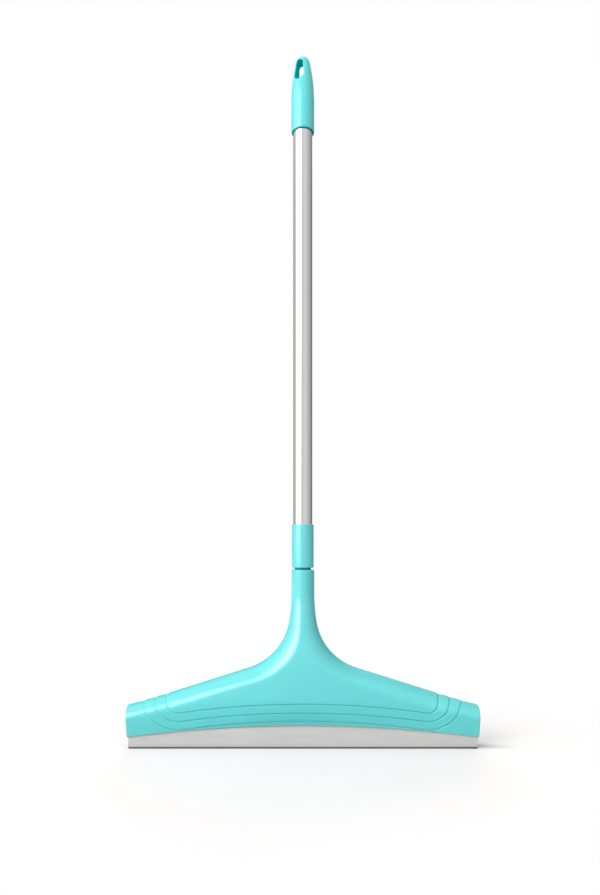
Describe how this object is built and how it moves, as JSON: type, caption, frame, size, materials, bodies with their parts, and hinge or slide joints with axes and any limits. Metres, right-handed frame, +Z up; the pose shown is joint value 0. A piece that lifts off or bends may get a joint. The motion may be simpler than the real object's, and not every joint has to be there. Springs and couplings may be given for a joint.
{
  "type": "floor squeegee",
  "caption": "Floor squeegee with a triangular moulded hood over grey rubber strips and a metal pole that screws into its neck and ends in a slotted hang cap.",
  "frame": {"origin": "on the floor under the pole, at the middle of the head", "axes": "+Z up along the pole, +X along the head, -Y toward the front that the picture shows"},
  "size_m": [0.5838, 0.069, 1.1456],
  "materials": {
    "hood_plastic": "smooth moulded turquoise",
    "bar_plastic": "plain moulded turquoise",
    "strip_rubber": "matt light grey",
    "fastener_steel": "zinc plated",
    "washer_rubber": "matt dark teal",
    "rivet_metal": "bare",
    "tube_metal": "satin polished"
  },
  "bodies": {
    "head": {"head_hood": "hood_plastic", "clamp_bar": "bar_plastic", "front_blade": "strip_rubber", "rear_blade": "strip_rubber", "clamp_screws": "fastener_steel"},
    "washer": {"neck_washer": "washer_rubber"},
    "pole": {"pole_ferrule": "hood_plastic", "ferrule_rivet": "rivet_metal", "pole_tube": "tube_metal", "hang_cap": "hood_plastic"}
  },
  "joints": [
    {"name": "pole_lift", "type": "slide", "parent": "head", "child": "washer", "axis": [0, 0, 1], "range_m": [0, 0.03]},
    {"name": "pole_turn", "type": "hinge", "parent": "washer", "child": "pole", "pos_m": [0, 0, 0.2965], "axis": [0, 0, 1], "range_deg": [0, 2160]}
  ],
  "couplings": [
    {"joint": "pole_lift", "follows": "pole_turn", "m_per_rad": 0.00079577}
  ]
}
